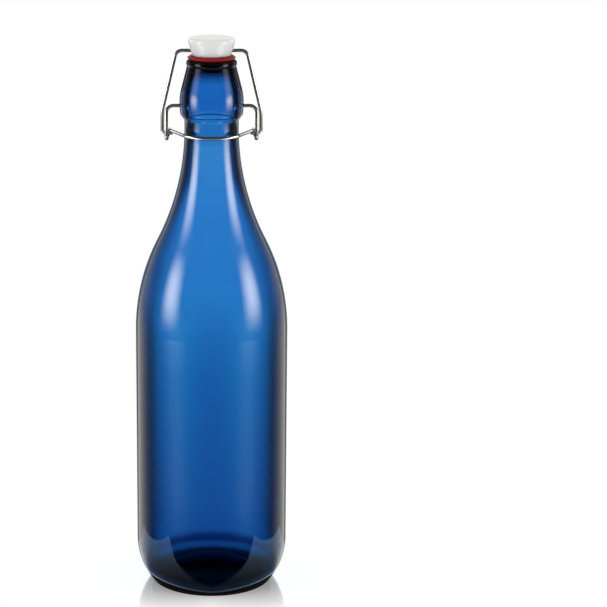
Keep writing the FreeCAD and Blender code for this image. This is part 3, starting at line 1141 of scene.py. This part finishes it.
# %% Sky
inside_level = 0.015
bounced_level = 0.35
bounced_back = (0.86, 0.95)
bounced_low = (-0.40, -0.32)
cool_ends = (-0.25, -0.10)
white = (1, 1, 1, 1)
cool_white = (0.86, 0.93, 1.08, 1)
bounced = spread(tree, heading["Y"], bounced_back, inside_level, bounced_level)
bounced = spread(tree, heading["Z"], bounced_low, inside_level, bounced)
sky_level = studio_level(tree, heading["Z"], mirrored, rough, bounced)
cool = product(tree, polished_ray(tree), spread(tree, heading["Z"], cool_ends, 0, 1))
sky = place_node(tree, "ShaderNodeBackground", blend_colours(tree, cool, white, cool_white), sky_level)
place_node(tree, "ShaderNodeOutputWorld", sky.outputs[0])
print("world has", len(tree.nodes), "nodes")

# %% [markdown]
# ## Soft boxes
# Two tall soft boxes in front, one on each side, give the long highlights. A real box is brightest in its
# middle and fades to its edges, so the lamp's strength is feathered over its sheet. The lamps show in
# reflections only, because the world already lights the white surfaces evenly.

# %% Helpers for a soft box
side_feather = (0.04, 0.5)
foot_feather = (0, 0.40)
top_feather = (0.50, 1)


def reflections_only(thing):
    """Hide a lamp or a card from the camera, from diffuse light and from looks through glass."""
    thing.visible_camera = False
    thing.visible_diffuse = False
    thing.visible_transmission = False


def feather_box(tree):
    """Let the lamp's strength fade from the middle of its sheet to its edges."""
    sheet = axes(tree, tree.nodes.new("ShaderNodeNewGeometry").outputs["Parametric"])
    inset = maths(tree, "ABSOLUTE", maths(tree, "SUBTRACT", sheet["X"], 0.5))
    strength = product(
        tree, spread(tree, inset, side_feather, 1, 0, smooth=True),
        spread(tree, sheet["Y"], foot_feather, 0, 1, smooth=True),
        spread(tree, sheet["Y"], top_feather, 1, 0, smooth=True))
    glowing = next(n for n in tree.nodes if n.type == "EMISSION")
    tree.links.new(strength, glowing.inputs["Strength"])


# %% Set up the soft boxes
box_distance = 0.90
box_azimuth = math.radians(66.5)
box_width = 0.66
box_foot = -0.015
box_top = 0.80
box_height = box_top - box_foot
box_middle = (box_top + box_foot) / 2
box_radiance = 10.0
box_colour = (1.0, 0.93, 0.78)
box_x = box_distance * math.sin(box_azimuth)
box_y = -box_distance * math.cos(box_azimuth)
for side, name in ((-1, "soft_box_left"), (1, "soft_box_right")):
    bpy.ops.object.select_all(action="DESELECT")
    spot = (side * box_x, box_y, box_middle)
    bpy.ops.object.light_add(type="AREA", location=spot, rotation=(math.pi / 2, 0, side * box_azimuth))
    box = bpy.context.object
    box.name = name
    box.data.shape = "RECTANGLE"
    box.data.size = box_width
    box.data.size_y = box_height
    box.data.energy = box_radiance * math.pi * box_width * box_height
    box.data.color = box_colour
    box.data.use_nodes = True
    feather_box(box.data.node_tree)
    reflections_only(box)
    print(name, "shines with", round(box.data.energy, 2), "W")

# %% [markdown]
# ## Black flags
# The lip under the stopper is almost black in the photograph. A photographer would hang small black flags
# near it, so three hang here: one before each soft box, and one behind the lip. They are seen in polished
# reflections only, and they fade in upwards, so that the highlights on the collar end softly.


# %% Helpers for a flag
def flag_finish(name, ends, most):
    """Black for polished reflections, from clear at a low height to its most at a high one."""
    material, tree, shader, output, place = new_material(name)
    shader.inputs["Base Color"].default_value = (0.01, 0.01, 0.01, 1)
    block = spread(tree, axes(tree, place)["Z"], ends, 0, most, smooth=True)
    block = product(tree, block, light_path(tree)["Is Singular Ray"])
    clear = tree.nodes.new("ShaderNodeBsdfTransparent")
    flag = place_node(tree, "ShaderNodeMixShader", block, clear.outputs[0], shader.outputs[0])
    tree.links.new(flag.outputs[0], output.inputs["Surface"])
    return material


def hang_flag(name, size, spot, turn, finish):
    """A square flag that only reflections can see."""
    flag = start_piece(
        name, bpy.ops.mesh.primitive_plane_add, size=size, location=spot,
        rotation=(math.pi / 2, 0, turn))
    bpy.ops.object.mode_set(mode="OBJECT")
    flag.data.materials.append(finish)
    flag.visible_shadow = False
    reflections_only(flag)
    print(name, "hangs at", [round(x, 3) for x in spot])


# %% Hang the flags
flag_size = 0.12
flag_distance = 0.10
side_flag_height = 0.325
lip_flag_place = (0, 0.05, 0.345)
side_flag_finish = flag_finish("side_flag_finish", ends=(0.284, 0.312), most=0.78)
lip_flag_finish = flag_finish("lip_flag_finish", ends=(0.2865, 0.2905), most=0.9)
flag_x = flag_distance * math.sin(box_azimuth)
flag_y = -flag_distance * math.cos(box_azimuth)
hang_flag("flag_left", flag_size, (-flag_x, flag_y, side_flag_height), -box_azimuth, side_flag_finish)
hang_flag("flag_right", flag_size, (flag_x, flag_y, side_flag_height), box_azimuth, side_flag_finish)
hang_flag("flag_behind", flag_size, lip_flag_place, 0, lip_flag_finish)

# %% [markdown]
# ## Floor: a white table
# The bottle stands on a glossy white table. Near the bottle the table is a real surface, with its shadow.
# Further out it fades into the same white as the background, so that no edge shows. It is one disc, a hair
# below the bottle's foot, and its material decides by the distance from the bottle.

# %% Make the table
floor_gap = 0.05 * mm
floor_radius = 0.7
table_light = (0.93, 0.93, 0.93, 1)
table_dark = (0.90, 0.90, 0.905, 1)
floor = start_piece(
    "floor", bpy.ops.mesh.primitive_circle_add, vertices=128, radius=floor_radius, fill_type="NGON",
    location=(0, 0, -floor_gap))
bpy.ops.object.mode_set(mode="OBJECT")
floor_finish, tree, shader, output, place = new_material("white_table_finish")
cloud_share = cloudy_value(tree, place, scale=30.0, low=0.0, high=1.0)
join(tree, blend_colours(tree, cloud_share, table_light, table_dark), shader, "Base Color")
shader.inputs["Roughness"].default_value = 0.5
away = place_node(tree, "ShaderNodeVectorMath", place, operation="LENGTH").outputs["Value"]
sideways, along, _ = axes(tree, place)
across = maths(tree, "ABSOLUTE", sideways)
toward = maths(tree, "DIVIDE", along, away)
print("floor of", floor_radius, "m")

# %% [markdown]
# ## Floor: the sheet that the heel mirrors
# The heel mirrors the table. The photograph shows there a pale blue sheet with pointed corners at each
# side, and a thin bright rim round the foot. So for polished reflections the table glows where that sheet
# lies, brighter away from the bottle. The sheet's front edge comes forward to both sides of the middle.

# %% Glow of the sheet
sheet_front = -0.041
sheet_slant = -0.38
sheet_most = -0.071
sheet_front_ends = (-0.001, 0.001)
sheet_side_ends = (0.115, 0.118)
sheet_back_ends = (0.045, 0.050)
sheet_reach = (0.04, 0.15)
sheet_low = 0.03
sheet_high = 1.6
sheet_dim_ends = (-0.015, 0.045)
sheet_dim = 0.5
far_card_ends = (0.50, 0.68)
far_card_level = 0.8
sheet_blue = (0.5, 0.95, 1.45, 1)
slanted_edge = maths(tree, "MULTIPLY_ADD", across, sheet_slant, sheet_front)
front_edge = maths(tree, "MAXIMUM", slanted_edge, sheet_most)
sheet = product(
    tree, spread(tree, maths(tree, "SUBTRACT", along, front_edge), sheet_front_ends, 0, 1),
    spread(tree, across, sheet_side_ends, 1, 0), spread(tree, along, sheet_back_ends, 1, 0),
    spread(tree, away, sheet_reach, sheet_low, sheet_high),
    spread(tree, along, sheet_dim_ends, 1, sheet_dim))
card_share = side_cards(tree, toward)
far_card = product(tree, card_share, spread(tree, away, far_card_ends, 0, far_card_level))
sheet_colour = blend_colours(tree, sheet, white, sheet_blue)
sheet_glow = place_node(tree, "ShaderNodeEmission", sheet_colour, maths(tree, "MAXIMUM", sheet, far_card))
print("sheet starts", round(-sheet_front / mm), "mm in front of the axis")

# %% Glow of the rim round the foot
rim_distance = 37.0 * mm
rim_widening = 0.09
rim_ends = (0.2 * mm, 0.9 * mm)
rim_across = (0, 33 * mm)
rim_middle = 0.6
rim_sides = 1.8
rim_blue = (0.42, 0.55, 0.76, 1)
rim_inner = (-0.5 * mm, 0)
rim_outer = (0, 7 * mm)
rim_glow_blue = (0.08, 0.17, 0.28, 1)
past_rim = maths(tree, "SUBTRACT", away, maths(tree, "MULTIPLY_ADD", across, rim_widening, rim_distance))
rim_line = product(
    tree, spread(tree, maths(tree, "ABSOLUTE", past_rim), rim_ends, 1, 0),
    spread(tree, across, rim_across, rim_middle, rim_sides))
rim_glow = product(tree, spread(tree, past_rim, rim_inner, 0, 1), spread(tree, past_rim, rim_outer, 1, 0))
line_shader = place_node(tree, "ShaderNodeEmission", rim_blue, rim_line)
glow_shader = place_node(tree, "ShaderNodeEmission", rim_glow_blue, rim_glow)
print("rim", round(rim_distance / mm, 1), "mm from the axis")

# %% Add what polished glass mirrors of the table
past_back = (-0.17, 0.10)
past_reach = (0.12, 0.22)
seen_past = spread(tree, toward, past_back, spread(tree, away, past_reach, 0, 1), 1)
mirrored = place_node(tree, "ShaderNodeBsdfTransparent", seen_past)
for part in (sheet_glow, line_shader, glow_shader):
    mirrored = place_node(tree, "ShaderNodeAddShader", mirrored.outputs[0], part.outputs[0])
print("polished rays see past the table beyond", past_reach[1], "m")

# %% [markdown]
# ## Floor: shadow, mirror image and painted contact shadow
# For the camera the table keeps the bottle's shadow, with a faint mirror image that fades away from the
# foot, and a thin ring of painted contact shadow, black, where the foot touches it. Further out it is as
# white as the background.

# %% Fade the table to white
rough_table = 0.45
spill_level = 5.0
spill_ends = (0.10, 0.20)
table_height = -0.05
fade_ends = (0.032, 0.075)
seen_fade_ends = (0.030, 0.045)
seen_fade = 0.75
path = light_path(tree)
spill = product(tree, card_share, spread(tree, away, spill_ends, 0, spill_level))
rough = maths(tree, "ADD", spill, rough_table)
far_level = studio_level(tree, table_height, 0.0, rough, inside_level)
far_table = place_node(tree, "ShaderNodeEmission", white, far_level)
faded = spread(tree, away, fade_ends, 0, 1, smooth=True)
faded = spread(tree, path["Is Camera Ray"], off_on, faded, spread(tree, away, seen_fade_ends, seen_fade, 1))
print("the table fades to white within", round(fade_ends[1] / mm), "mm")

# %% Mirror image and painted contact shadow
mirror_colour = (0.975, 0.99, 1, 1)
mirror_roughness = 0.06
mirror_ends = (0.030, 0.060)
mirror_most = 0.62
mirror_widening = -0.25
mirror_across = (0, 0.040)
mirror_middle = 0.70
mirror_sides = 1.15
contact_ends = (0.0345, 0.0351)
mirror = place_node(tree, "ShaderNodeBsdfGlossy", mirror_colour, mirror_roughness)
mirror_reach = maths(tree, "MULTIPLY_ADD", across, mirror_widening, away)
mirror_share = product(
    tree, spread(tree, mirror_reach, mirror_ends, mirror_most, 0),
    spread(tree, across, mirror_across, mirror_middle, mirror_sides), path["Is Camera Ray"])
# A painted contact shadow: a thin black ring where the foot touches the table.
painted_contact_shadow = place_node(tree, "ShaderNodeEmission", (0, 0, 0, 1), 0)
painted_contact_share = product(tree, spread(tree, away, contact_ends, 1, 0), path["Is Camera Ray"])
print("the foot touches the table within", round(contact_ends[1] / mm, 1), "mm of the axis")

# %% Lay the table's layers over each other
layers = [(faded, far_table), (mirror_share, mirror), (painted_contact_share, painted_contact_shadow), (polished_ray(tree), mirrored)]
table = shader
for share, layer in layers:
    table = place_node(tree, "ShaderNodeMixShader", share, table.outputs[0], layer.outputs[0])
tree.links.new(table.outputs[0], output.inputs["Surface"])
floor.data.materials.append(floor_finish)
print("table uses", len(tree.nodes), "nodes")

# %% [markdown]
# ## Colours as written
# The Standard view keeps colours as they are written.

# %% Finish
bpy.context.scene.view_settings.view_transform = "Standard"
